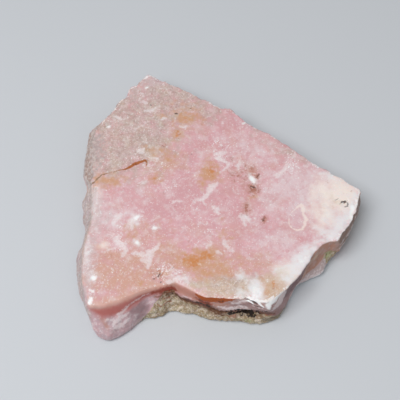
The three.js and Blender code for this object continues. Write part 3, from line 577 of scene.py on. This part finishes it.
# How each mask becomes colour, in the order painted: mask, colour, opacity, the level where it is half
# covered, the softness of its edge, the size of the grain that breaks the edge up, and how hard it bites
LAYERS = [
    ("stone", SALMON, 0.5, 1.05, 0.12, 7, 1),
    ("stone", DEEP_PINK, 0.6, 1.04, 0.12, 5.5, 1),
    ("stone", PALE, 0.5, 1.08, 0.12, 4, 1),
    ("deep", DEEP_PINK, 0.8, 0.5, 0.35, 3, 1),
    ("weathered", WEATHERED, 1, 0.5, 0.3, 3, 1.4),
    ("mottled", PINK, 0.6, 1, 0.2, 5, 2),
    ("mottled", SAND, 0.35, 1.1, 0.2, 3.5, 2),
    ("salmon", SALMON, 1, 0.5, 0.3, 3, 1.4),
    ("pale", PALE, 1, 0.5, 0.35, 2.6, 1.4),
    ("sawn", DEEP_PINK, 0.4, 1.05, 0.08, 1.5, 1),
    ("cream", CREAM, 0.9, 0.45, 0.4, 3, 0.9),
    ("lilac", LILAC, 1, 0.5, 0.25, 1.8, 0.8),
    ("lilac", PINK, 0.35, 1.05, 0.2, 2.4, 1.5),
    ("lilac", WHITE, 0.45, 1.12, 0.15, 0.9, 2),
    ("heather", HEATHER, 1, 0.5, 0.25, 1.8, 0.8),
    ("heather", WHITE, 0.4, 1.12, 0.12, 0.8, 1.6),
    ("dusk", GREY, 0.9, 0.5, 0.3, 1.8, 1),
    ("dusk", LILAC, 0.8, 0.95, 0.2, 2, 1.5),
    ("dusk", WHITE, 0.6, 1.15, 0.12, 0.9, 2),
    ("lavender", LAVENDER, 0.85, 0.5, 0.35, 1.8, 1),
    ("mauve", MAUVE, 0.9, 0.5, 0.3, 1.8, 0.9),
    ("russet", RUSSET, 0.95, 0.5, 0.3, 1.8, 0.8),
    ("russet", ASH, 0.4, 1.04, 0.12, 1.5, 1.4),
    # painted shade on the right-hand scoop
    ("scoop_shade", SCOOP_SHADE, 0.9, 0.5, 0.35, 1.5, 0.8),
    # painted shade on the side under the right tip
    ("tip_side_shade", TIP_SIDE_SHADE, 0.85, 0.5, 0.3, 1.5, 1.2),
    ("blush", BLUSH, 0.7, 0.5, 0.35, 1.5, 1.2),
    ("coral", CORAL, 1, 0.5, 0.45, 2, 0.4),
    ("rose", ROSE, 1, 0.5, 0.45, 2, 0.3),
    ("worn", BEIGE, 0.7, 0.5, 0.45, 1.5, 0.6),
    ("haze", HAZE, 0.75, 0.5, 0.4, 1.8, 1.4),
    ("sand", SAND, 0.7, 0.5, 0.35, 1.6, 1.2),
    ("lip", ASH, 1, 0.5, 0.2, 1.2, 0.8),
    ("lip", WHITE, 0.5, 1.04, 0.15, 0.7, 1.6),
    ("lip edge", FROST, 0.9, 0.5, 0.2, 0.7, 1),
    ("ring core", LIGHT_PINK, 0.8, 0.5, 0.3, 1.5, 0.5),
    ("sawn", WHITE, 0.3, 1.08, 0.08, 2.2, 1),
    ("sawn", WHITE, 0.3, 1.1, 0.05, 0.7, 1),
    ("mottled", EARTH, 0.35, 1.02, 0.3, 2.2, 2),
    ("mottled", CHALK, 0.45, 1.04, 0.3, 1.6, 2),
    ("mottled", EARTH, 0.35, 1.12, 0.2, 0.7, 2.4),
    ("mottled", FROST, 0.35, 1.3, 0.15, 0.6, 2.4),
    # fine white flecks on the sawn face, partly painted glints
    ("sawn", WHITE, 0.5, 1.2, 0.08, 0.9, 1.3),
    ("sawn", FROST, 0.65, 1.235, 0.08, 0.45, 1.5),
    ("flecks_and_glints", WHITE, 0.5, 1.1, 0.15, 1, 3),
    ("flecks_and_glints", FROST, 0.65, 1.2, 0.12, 0.6, 3),
    ("sawn", RUST, 0.25, 1.2, 0.05, 1, 1.2),
    # white frosting and veil, partly painted reflection along the right rim
    ("frost_and_glare", MIST, 0.9, 0.5, 0.45, 2, 1.4),
    ("veil_and_glare", MIST, 0.85, 0.5, 0.4, 1.8, 1.2),
    ("frost_and_glare", FROST, 0.6, 1, 0.2, 1, 2),
    ("ochre", OCHRE, 0.85, 0.48, 0.4, 1.6, 1.8),
    ("ochre", AMBER, 0.5, 0.95, 0.2, 0.8, 1.6),
    ("ochre", CREAM, 0.4, 1.05, 0.15, 0.7, 2.2),
    ("amber", AMBER, 0.8, 0.5, 0.3, 0.9, 2),
    ("pearl", WHITE, 0.6, 0.5, 0.3, 0.8, 1.4),
    ("umber", UMBER, 1, 0.5, 0.25, 0.9, 1.2),
    ("rind", RIND, 1, 0.5, 0.1, 1, 0.8),
    ("rind", TAN, 0.6, 1.02, 0.2, 2.4, 1.8),
    ("rind", CREAM, 0.4, 1.08, 0.2, 1.2, 2),
    ("rind", CREAM, 0.4, 1.15, 0.15, 0.5, 2),
    ("rind", BROWN, 0.35, 1.2, 0.15, 0.6, 2),
    ("garnet", GARNET, 0.95, 0.5, 0.35, 0.9, 1.2),
    ("rust", RUST, 0.65, 0.52, 0.3, 0.8, 2.2),
    ("stain", BROWN, 0.8, 0.5, 0.25, 0.6, 1.4),
    ("moss", MOSS, 0.8, 0.5, 0.25, 0.8, 1.5),
    # painted shade on the rind's right end
    ("rind_end_shade", RIND_END_SHADE, 0.7, 0.5, 0.4, 1, 1.6),
    ("shade", BROWN, 0.5, 0.5, 0.45, 1.2, 1.6),
    # the opal's dark contact with the rind, partly painted shade
    ("contact", BROWN, 0.8, 0.45, 0.25, 0.7, 1.2),
    ("contact", DARK, 0.8, 0.9, 0.15, 0.6, 2),
    ("crumbled", GREY, 0.8, 0.5, 0.3, 1.5, 2),
    ("crumbled", CHALK, 0.5, 0.8, 0.2, 0.9, 2.4),
    ("crumbled", EARTH, 0.8, 0.95, 0.15, 0.8, 2),
    ("ring", CREAM, 0.6, 0.5, 0.25, 0.8, 0.9),
    ("white", WHITE, 0.6, 0.47, 0.25, 1, 1.8),
    ("white", FROST, 0.25, 0.85, 0.2, 0.6, 2.4),
    ("bright", FROST, 0.95, 0.5, 0.4, 0.8, 0.8),
    # painted glints on the hackles
    ("hackle_glint", FROST, 0.95, 0.45, 0.2, 0.4, 0.4),
    ("edge", FROST, 0.7, 0.5, 0.2, 0.7, 1.6),
    ("crack", TAN, 0.9, 0.45, 0.25, 0.8, 1.4),
    ("crack", BROWN, 0.4, 0.9, 0.2, 0.6, 2),
    ("fill", EMBER, 0.95, 0.5, 0.25, 0.5, 1.4),
    ("fill", BROWN, 0.5, 1, 0.2, 0.6, 2),
    # painted shade in the gaps between the crumbs and the grit
    ("gap_shade", BROWN, 0.3, 0.5, 0.3, 0.9, 1.4),
    # the black hollow, partly dark mineral and partly painted shade
    ("hollow", DARK, 0.95, 0.48, 0.12, 0.6, 2.6),
    # painted shade in the grooves between the hackles
    ("groove", DARK, 0.8, 0.5, 0.25, 0.4, 0.8),
    ("dark", DARK, 0.8, 0.5, 0.25, 0.4, 0.8),
]

# How far apart the layers' grains lie in the noise, so that no two are alike
LAYER_STEP = 3.7

# The stone's finish: its roughness where it shines most and least, how much rougher the rind is, and how it
# bends and scatters light, with how many millimetres red, green and blue light get into it
SATIN = 0.38
DULL = 0.6
RIND_ROUGHER = 0.35
IOR = 1.45
SCATTERING = 0.1
SCATTERING_REACH = (1.0, 0.5, 0.4)

# Light: how strong the studio is, and where its large soft lamp stands
ROOM_LIGHT = 0.38
LAMP_PLACE = (-240, -220, 620)
LAMP_SIZE = 400
LAMP_POWER = 3.3
FLOOR_SIZE = 1600


def hashed(cells, seed):
    """A repeatable number from 0 to 1 for each row of integer lattice points."""
    h = cells[:, 0] * 374761393 + cells[:, 1] * 668265263 + cells[:, 2] * 2147483647 + seed * 974634777
    h = (h ^ (h >> 13)) & 0xFFFFFFFF
    h = (h * 1274126177) & 0xFFFFFFFF
    return ((h ^ (h >> 16)) & 0xFFFFFF) / 0xFFFFFF


def noise(points, size, seed):
    """Smooth noise from -1 to 1 whose bumps are about size across."""
    scaled = points / size + 1000
    cell = np.floor(scaled).astype(np.int64)
    t = scaled - cell
    t = t * t * (3 - 2 * t)
    total = np.zeros(len(points))
    for corner in np.ndindex(2, 2, 2):
        weight = np.prod(np.where(corner, t, 1 - t), axis=1)
        total += weight * hashed(cell + np.array(corner), seed)
    return 2 * total - 1


def fractal(points, size, seed, octaves=4):
    """Noise with finer and fainter noise on top of it."""
    total = np.zeros(len(points))
    for octave in range(octaves):
        total += noise(points, size / 2**octave, seed + octave) / 2**octave
    return total


def scattered(points, size, seed, share=1.0):
    """How far each point is from the nearest of many spots, scattered about size apart, over that size."""
    scaled = points / size + 1000
    cell = np.floor(scaled).astype(np.int64)
    nearest = np.full(len(points), np.inf)
    for step in np.ndindex(3, 3, 3):
        near = cell + np.array(step) - 1
        spot = near + np.stack([hashed(near, seed + axis) for axis in range(3)], axis=1)
        distance = np.linalg.norm(spot - scaled, axis=1)
        distance[hashed(near, seed + 3) > share] = np.inf
        nearest = np.minimum(nearest, distance)
    return nearest


def smoothstep(low, high, value):
    t = np.clip((value - low) / (high - low), 0, 1)
    return t * t * (3 - 2 * t)


def profile(bearing, rows):
    """A value that goes round the stone, given at a few bearings."""
    at, value = zip(*rows)
    return np.interp(bearing, at, value, period=360)


def spot_mask(u, v, spots):
    """How far inside soft ellipses each point is: the strength in the middle, half of it at the edge."""
    mask = np.zeros(len(u))
    for x, y, half_u, half_v, strength, *turn in spots:
        angle = math.radians(turn[0] if turn else 0)
        c, s = math.cos(angle), math.sin(angle)
        across = ((u - x) * c + (v - y) * s) / half_u
        along = ((v - y) * c - (u - x) * s) / half_v
        mask = np.maximum(mask, strength * (1 - 0.5 * np.hypot(across, along)))
    return mask


def stroke_reach(u, v, stroke):
    """How far each point is inside a stroke's edge, negative outside it."""
    reach = np.full(len(u), -np.inf)
    for (ax, ay, aw), (bx, by, bw) in zip(stroke, stroke[1:]):
        length = (bx - ax) ** 2 + (by - ay) ** 2
        t = np.clip(((u - ax) * (bx - ax) + (v - ay) * (by - ay)) / length, 0, 1)
        distance = np.hypot(u - ax - t * (bx - ax), v - ay - t * (by - ay))
        reach = np.maximum(reach, aw + t * (bw - aw) - distance)
    return reach


def stroke_mask(u, v, strokes, fringe):
    """0.5 on the strokes' edges, rising inside them and falling to 0 at one fringe outside."""
    mask = np.zeros(len(u))
    for stroke in strokes:
        mask = np.maximum(mask, 0.5 + 0.5 * stroke_reach(u, v, stroke) / fringe)
    return np.minimum(mask, 1)


def band_mask(bearing, height, bands, softness):
    """0.5 on the border and the ends of a band along the side, rising inside it and falling outside. A band
    that starts at height 0 has no lower border."""
    mask = np.zeros(len(bearing))
    for band in bands:
        at, low, high = np.array(band, float).T
        for turn in (-360, 0):
            around = bearing + turn
            ends = SIDE_MM_PER_DEGREE * np.minimum(around - at[0], at[-1] - around)
            lower = np.interp(around, at, low)
            upper = np.interp(around, at, high)
            depth = np.minimum(np.where(lower <= 0, np.inf, height - lower), upper - height)
            mask = np.maximum(mask, 0.5 + np.minimum(depth, ends) / (2 * softness))
    return np.minimum(mask, 1)


def read_vectors(collection, name, count):
    """A property of every item in a mesh's collection, as rows of three numbers."""
    values = np.empty(count * 3)
    collection.foreach_get(name, values)
    return values.reshape(-1, 3)


def apply_modifiers(thing):
    """Gives an object the mesh that its modifiers make, and takes them off."""
    evaluated = thing.evaluated_get(bpy.context.evaluated_depsgraph_get())
    mesh = bpy.data.meshes.new_from_object(evaluated)
    thing.modifiers.clear()
    thing.data = mesh


def even_mesh(node):
    """A new object over the CAD stone, cut into even small faces, with fewer on the flat underside."""
    stone = bpy.data.objects.new("opal_slab_surface", node.data.copy())
    bpy.context.scene.collection.objects.link(stone)
    remesh = stone.modifiers.new("even faces", "REMESH")
    remesh.mode = "VOXEL"
    remesh.voxel_size = FACE_SIZE * MM
    apply_modifiers(stone)
    height = read_vectors(stone.data.vertices, "co", len(stone.data.vertices))[:, 2] / MM
    underside = stone.vertex_groups.new(name="underside")
    underside.add(np.flatnonzero(height < UNDERSIDE).tolist(), 1, "REPLACE")
    thinned = stone.modifiers.new("fewer underneath", "DECIMATE")
    thinned.vertex_group = underside.name
    thinned.ratio = FACES_KEPT
    apply_modifiers(stone)
    return stone


def bearings(points):
    """Where each point lies round the stone, in degrees anticlockwise from +X."""
    return np.degrees(np.arctan2(points[:, 1], points[:, 0])) % 360


def relaxed(mesh, points, weight, rounds):
    """Moves each point towards the middle of its neighbours, by its weight, round after round."""
    count = len(points)
    points = points.copy()
    edges = np.empty(len(mesh.edges) * 2, np.int64)
    mesh.edges.foreach_get("vertices", edges)
    a, b = edges.reshape(-1, 2).T
    neighbours = np.bincount(a, minlength=count) + np.bincount(b, minlength=count)
    for _ in range(rounds):
        for axis in range(3):
            value = points[:, axis]
            total = np.bincount(a, value[b], count) + np.bincount(b, value[a], count)
            points[:, axis] = value + weight * (total / neighbours - value)
    return points


def smooth_sides(mesh, points):
    """Rubs out the CAD solid's facets on the sides, but not the flat faces and their edges."""
    z = points[:, 2]
    weight = profile(bearings(points), SMOOTHING) * smoothstep(0.1, 0.6, z)
    weight *= smoothstep(TOP - 0.3, TOP - 0.9, z)
    return relaxed(mesh, points, weight, SMOOTHING_ROUNDS)


def wear_edge(mesh, points, edge):
    """Rounds the sawn edge off where the photograph shows it worn."""
    weight = 0.9 * profile(bearings(points), EDGE_ROUNDING) * smoothstep(4, 2, edge)
    return relaxed(mesh, points, weight, WEAR_ROUNDS)


def rim_of(points, on_face):
    """The outermost points of the sawn face, one for each step round it."""
    bearing = bearings(points)
    reach = np.hypot(points[:, 0], points[:, 1])
    rim = []
    for degree in np.arange(0, 360, RIM_STEP):
        here = on_face & (bearing >= degree) & (bearing < degree + RIM_STEP)
        if here.any():
            rim.append(points[here][reach[here].argmax(), :2])
    return np.array(rim)


def edge_distance(points):
    """How far each point is from the edge of the sawn face: level on the face, downwards on the side."""
    on_face = points[:, 2] > TOP - 0.15
    rim = rim_of(points, on_face)
    level = np.empty(len(points))
    for start in range(0, len(points), POINTS_AT_ONCE):
        part = points[start:start + POINTS_AT_ONCE, None, :2] - rim[None]
        level[start:start + POINTS_AT_ONCE] = np.sqrt((part**2).sum(2).min(1))
    return np.where(on_face, level, TOP - points[:, 2])


def fill_crack(points):
    """Raises the bottom of the crack to where dirt and stain fill it in the photograph."""
    x, y = points[:, 0], points[:, 1]
    reach = stroke_reach(x, y, CRACK)
    at, depths = zip(*CRACK_DEPTHS)
    floor = TOP - np.interp(x, at, depths) * smoothstep(-0.25, 0.15, reach)
    near = (reach > -1.5) & (points[:, 2] > TOP - 3) & (np.hypot(x, y) < CRACK_END)
    points[:, 2] = np.where(near, np.maximum(points[:, 2], floor), points[:, 2])
    return points


def broken_forms(points, edge):
    """The shapes that breaks leave: crumbs, finer grit, shell-like scallops and flakes, and edge chips."""
    chips = np.clip(1 - (scattered(points, *CHIPS) / CHIP_RADIUS) ** 2, 0, 1)
    near_edge = np.exp(-((edge / 0.9) ** 2))
    return {
        "crumbs": 1 - scattered(points, *CRUMBS),
        "grit": 1 - scattered(points, *GRIT),
        "scallops": scattered(points * (1, 1, 0.7), *SCALLOPS) ** 2,
        "flakes": scattered(points, *FLAKES) ** 2,
        "chips": chips * near_edge * profile(bearings(points), EDGE_CHIPPING),
    }


def add(masks, name, values, where):
    """Lays values over a mask, where they are higher than what it holds."""
    masks[name] = np.maximum(masks[name], values * where)


def drawn_masks(points, face, side):
    """The masks as far as they are drawn: spots, strokes and bands."""
    x, y, z = points.T
    bearing = bearings(points)
    front = side * (y < FRONT_DEPTH) * (x < FRONT_END)
    masks = {name: np.zeros(len(points)) for name, *_ in LAYERS}
    for name, spots in FACE_SPOTS.items():
        add(masks, name, spot_mask(x, y, spots), face)
    for drawn, v, where in ((FACE_STROKES, y, face), (FRONT_STROKES, z, front)):
        for name, strokes in drawn.items():
            fringe = STROKE_FRINGE.get(name, USUAL_FRINGE)
            add(masks, name, stroke_mask(x, v, strokes.values(), fringe), where)
    for name, bands in SIDE_BANDS.items():
        add(masks, name, band_mask(bearing, z, bands, BAND_SOFTNESS.get(name, USUAL_SOFTNESS)), side)
    for name, spots in SIDE_SPOTS.items():
        spots = [(at * SIDE_MM_PER_DEGREE, *rest) for at, *rest in spots]
        add(masks, name, spot_mask(bearing * SIDE_MM_PER_DEGREE, z, spots), side)
    return masks


def masks_of(points, edge, forms):
    """Every colour mask, as one number per point of the mesh."""
    shift = np.stack([fractal(points, WAVER_SIZE, seed) for seed in (81, 86, 91)], axis=1)
    wavering = points + WAVER * shift
    bearing = bearings(wavering)
    x, y, z = points.T
    face = smoothstep(TOP - 0.9, TOP - 0.3, z)
    side = 1 - smoothstep(TOP - 0.4, TOP - 0.05, z)
    masks = drawn_masks(wavering, face, side)
    clouded = side * profile(bearing, CLOUDED)
    for name, size, seed, amount in CLOUDS:
        add(masks, name, np.clip(amount + 0.9 * fractal(points, size, seed, 3), 0, 1), clouded)
    masks["stone"] += 1
    masks["sawn"] = face
    # White flecks on the sawn face, partly painted glints where it sparkles
    masks["flecks_and_glints"] = face * (0.5 + 0.5 * fractal(points, 8, 75, 2))
    masks["mottled"] = smoothstep(0.3, 0.7, masks["weathered"])
    # The crack is cut into the mesh, so its colours keep to its line and don't waver.
    masks["fill"] = stroke_mask(x, y, FACE_STROKES["fill"].values(), USUAL_FRINGE) * face
    masks["crack"] = stroke_mask(x, y, [CRACK], USUAL_FRINGE) * smoothstep(9, 11.5, z)
    thin_line = np.exp(-((edge / 0.5) ** 2)) * (0.8 + 0.6 * noise(points, 2.5, 95))
    masks["edge"] = np.maximum(thin_line, forms["chips"]) * profile(bearing, EDGE_WHITENESS)
    worn = np.exp(-((edge / 1.6) ** 2)) * smoothstep(224, 230, bearing)
    masks["worn"] = worn * smoothstep(254, 246, bearing)
    add(masks, "rind", 0.5 + 0.5 * fractal(points, 14, 71, 2), 1 - smoothstep(0.05, 0.4, z))
    add_gap_shade(masks, forms)
    return masks


def add_gap_shade(masks, forms):
    """Painted shade in the gaps between the crumbs and the grit, where the stone is rind or crumbled."""
    wide_gaps = 1 - smoothstep(0.2, 0.42, forms["crumbs"])
    fine_gaps = 1 - smoothstep(0.15, 0.38, forms["grit"])
    crumbly = np.maximum(smoothstep(0.4, 0.65, masks["rind"]), 0.6 * smoothstep(0.4, 0.8, masks["crumbled"]))
    masks["gap_shade"] = np.maximum(wide_gaps, 0.6 * fine_gaps) * crumbly


def marks_relief(masks):
    """The relief of the marks on the side: hackles, grooves, the black hollow and the recess around it."""
    hackles = HACKLE_HEIGHT * smoothstep(0.3, 0.8, masks["hackle_glint"])
    grooves = GROOVE_DEPTH * smoothstep(0.3, 0.8, masks["groove"])
    hollow = HOLLOW_DEPTH * smoothstep(0.5, 1, masks["hollow"])
    recess = RECESS_DEPTH * smoothstep(0.6, 1, masks["contact"])
    return hackles - grooves - hollow - recess


def relief_of(points, masks, forms):
    """How far each point of the surface stands out, in millimetres."""
    face = smoothstep(TOP - 0.35, TOP - 0.1, points[:, 2])
    side = (1 - face) * smoothstep(0.1, 0.8, points[:, 2])
    rind = smoothstep(0.4, 0.65, masks["rind"])
    calm = profile(bearings(points), BREAK_ROUGHNESS) * (1 - 0.6 * smoothstep(0.3, 0.7, masks["rose"]))
    gritty = (forms["grit"] - 0.5) * smoothstep(0.3, 0.8, masks["crumbled"])
    sawn = SAWN_WAVES * fractal(points, 5, 11, 3) + 0.5 * gritty
    broken = SCALLOP_HEIGHT * (forms["scallops"] - 0.1) + FLAKE_HEIGHT * (forms["flakes"] - 0.2)
    broken += BREAK_GRAIN * fractal(points, 1.2, 35, 3) + GRIT_HEIGHT * gritty
    crumbly = CRUMB_HEIGHT * (forms["crumbs"] - 0.35) + GRIT_HEIGHT * (forms["grit"] - 0.4)
    crumbly += RIND_SWELLING * fractal(points, 4, 38, 2)
    rough = broken * calm * (1 - rind) + crumbly * rind
    specks = SPECK_DEPTH * smoothstep(0.5, 0.9, masks["dark"])
    return (sawn - specks) * face + rough * side + marks_relief(masks) - CHIP_DEPTH * forms["chips"]


def store(mesh, name, values):
    attribute = mesh.attributes.new(name, "FLOAT", "POINT")
    attribute.data.foreach_set("value", values.astype(np.float32))


def stone_surface(node):
    """The stone: the CAD shape with its fine relief, and the masks that its material reads."""
    stone = even_mesh(node)
    mesh = stone.data
    points = read_vectors(mesh.vertices, "co", len(mesh.vertices)) / MM
    points = fill_crack(smooth_sides(mesh, points))
    edge = edge_distance(points)
    points = wear_edge(mesh, points, edge)
    forms = broken_forms(points, edge)
    masks = masks_of(points, edge, forms)
    mesh.vertices.foreach_set("co", (points * MM).ravel())
    mesh.update()
    normals = read_vectors(mesh.vertex_normals, "vector", len(mesh.vertices))
    points = points + normals * relief_of(points, masks, forms)[:, None]
    points[:, 2] = np.clip(points[:, 2], 0, TOP)
    mesh.vertices.foreach_set("co", (points * MM).ravel())
    for name, values in masks.items():
        store(mesh, name, values)
    mesh.shade_smooth()
    mesh.update()
    return stone


def linear(colour):
    """An sRGB colour, 0 to 255, as Blender's linear red, green, blue and alpha."""
    shares = [c / 255 for c in colour]
    return [s / 12.92 if s <= 0.04045 else ((s + 0.055) / 1.055) ** 2.4 for s in shares] + [1]


class Shader:
    """Short names for the few kinds of node that the materials use."""

    def __init__(self, name):
        self.material = bpy.data.materials.new(name)
        self.material.use_nodes = True
        self.tree = self.material.node_tree
        self.surface = self.tree.nodes["Principled BSDF"]
        place = self.tree.nodes.new("ShaderNodeTexCoord")
        scale = self.tree.nodes.new("ShaderNodeVectorMath")
        scale.operation = "SCALE"
        scale.inputs["Scale"].default_value = 1 / MM
        self.link(place.outputs["Object"], scale.inputs[0])
        self.place = scale.outputs[0]

    def link(self, source, target):
        if isinstance(source, (int, float)):
            target.default_value = source
        else:
            self.tree.links.new(source, target)

    def math(self, operation, a, b=0.0, c=0.0):
        node = self.tree.nodes.new("ShaderNodeMath")
        node.operation = operation
        for value, socket in zip((a, b, c), node.inputs):
            self.link(value, socket)
        return node.outputs[0]

    def noise(self, size, detail=3.0, seed=0.0):
        node = self.tree.nodes.new("ShaderNodeTexNoise")
        node.noise_dimensions = "4D"
        node.inputs["W"].default_value = seed
        node.inputs["Scale"].default_value = 1 / size
        node.inputs["Detail"].default_value = detail
        self.link(self.place, node.inputs["Vector"])
        return node.outputs["Fac"]

    def mask(self, name):
        node = self.tree.nodes.new("ShaderNodeAttribute")
        node.attribute_name = name
        return node.outputs["Fac"]

    def ramp(self, value, low, high, bottom=0.0, top=1.0):
        node = self.tree.nodes.new("ShaderNodeMapRange")
        node.interpolation_type = "SMOOTHSTEP"
        for number, socket in zip((value, low, high, bottom, top), node.inputs):
            self.link(number, socket)
        return node.outputs[0]

    def mix(self, factor, under, over):
        node = self.tree.nodes.new("ShaderNodeMix")
        node.data_type = "RGBA"
        self.link(factor, node.inputs["Factor"])
        for colour, socket in ((under, node.inputs[6]), (over, node.inputs[7])):
            if isinstance(colour, (list, tuple)):
                socket.default_value = colour
            else:
                self.link(colour, socket)
        return node.outputs[2]

    def bump(self, height, distance, strength, below=None):
        node = self.tree.nodes.new("ShaderNodeBump")
        node.inputs["Distance"].default_value = distance * MM
        self.link(strength, node.inputs["Strength"])
        self.link(height, node.inputs["Height"])
        if below is not None:
            self.link(below, node.inputs["Normal"])
        return node.outputs["Normal"]


def painted_layer(shader, colour, layer, seed):
    """One layer over the colour so far. Grain breaks up its mask's edge, but adds nothing outside it."""
    name, paint, opacity, level, softness, grain, bite = layer
    mask = shader.mask(name)
    grainy = shader.math("SUBTRACT", shader.noise(grain, 4, seed), 0.5)
    bitten = shader.math("MULTIPLY", grainy, shader.ramp(mask, 0, 0.25, 0, bite))
    ragged = shader.math("ADD", mask, bitten)
    cover = shader.ramp(ragged, level - softness, level + softness, 0, opacity)
    return shader.mix(cover, colour, linear(paint))


def opal_material():
    shader = Shader("pink_opal_stone")
    colour = linear(PINK)
    for number, layer in enumerate(LAYERS):
        colour = painted_layer(shader, colour, layer, LAYER_STEP * number)
    shader.link(colour, shader.surface.inputs["Base Color"])
    rind = shader.ramp(shader.mask("rind"), 0.4, 0.6)
    satin = shader.ramp(shader.noise(1.2, 4), 0.3, 0.7, SATIN, DULL)
    roughness = shader.math("MULTIPLY_ADD", rind, RIND_ROUGHER, satin)
    shader.link(roughness, shader.surface.inputs["Roughness"])
    fine = shader.bump(shader.noise(0.35, 4), 0.05, 0.6)
    coarse = shader.bump(shader.noise(0.7, 5), 0.35, shader.math("MULTIPLY", rind, 0.8), fine)
    shader.link(coarse, shader.surface.inputs["Normal"])
    shader.surface.inputs["IOR"].default_value = IOR
    shader.surface.inputs["Subsurface Weight"].default_value = SCATTERING
    shader.surface.inputs["Subsurface Radius"].default_value = SCATTERING_REACH
    shader.surface.inputs["Subsurface Scale"].default_value = MM
    return shader.material


def floor():
    size = FLOOR_SIZE * MM / 2
    mesh = bpy.data.meshes.new("studio_floor")
    corners = [(-size, -size, 0), (size, -size, 0), (size, size, 0), (-size, size, 0)]
    mesh.from_pydata(corners, [], [(0, 1, 2, 3)])
    plane = bpy.data.objects.new("studio_floor", mesh)
    bpy.context.scene.collection.objects.link(plane)
    shader = Shader("studio_floor")
    shader.surface.inputs["Base Color"].default_value = linear(FLOOR)
    shader.surface.inputs["Roughness"].default_value = 0.9
    mesh.materials.append(shader.material)


def aimed(thing, place, target):
    """Puts a lamp or camera at a place and turns it to look at a target, both in millimetres."""
    thing.location = Vector(place) * MM
    thing.rotation_euler = (Vector(target) - Vector(place)).to_track_quat("-Z", "Y").to_euler()
    bpy.context.scene.collection.objects.link(thing)


def lights():
    lamp = bpy.data.lights.new("soft_lamp", "AREA")
    lamp.size = LAMP_SIZE * MM
    lamp.energy = LAMP_POWER
    aimed(bpy.data.objects.new("soft_lamp", lamp), LAMP_PLACE, AIM)
    world = bpy.data.worlds.new("studio")
    world.use_nodes = True
    background = world.node_tree.nodes["Background"]
    background.inputs["Color"].default_value = (1, 1, 1, 1)
    background.inputs["Strength"].default_value = ROOM_LIGHT
    bpy.context.scene.world = world
    bpy.context.scene.view_settings.view_transform = "Standard"


def camera():
    lens = bpy.data.cameras.new("photo_camera")
    lens.lens = LENS
    lens.sensor_width = SENSOR
    lens.clip_start = 0.01
    seen_from = bpy.data.objects.new("photo_camera", lens)
    back = CAMERA_DISTANCE * math.cos(CAMERA_ELEVATION)
    up = CAMERA_DISTANCE * math.sin(CAMERA_ELEVATION)
    aimed(seen_from, (AIM[0], AIM[1] - back, AIM[2] + up), AIM)
    bpy.context.scene.camera = seen_from


camera()
lights()
floor()
stone = stone_surface(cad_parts[NODE])
stone.data.materials.clear()
stone.data.materials.append(opal_material())
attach(stone, "root")
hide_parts(NODE)
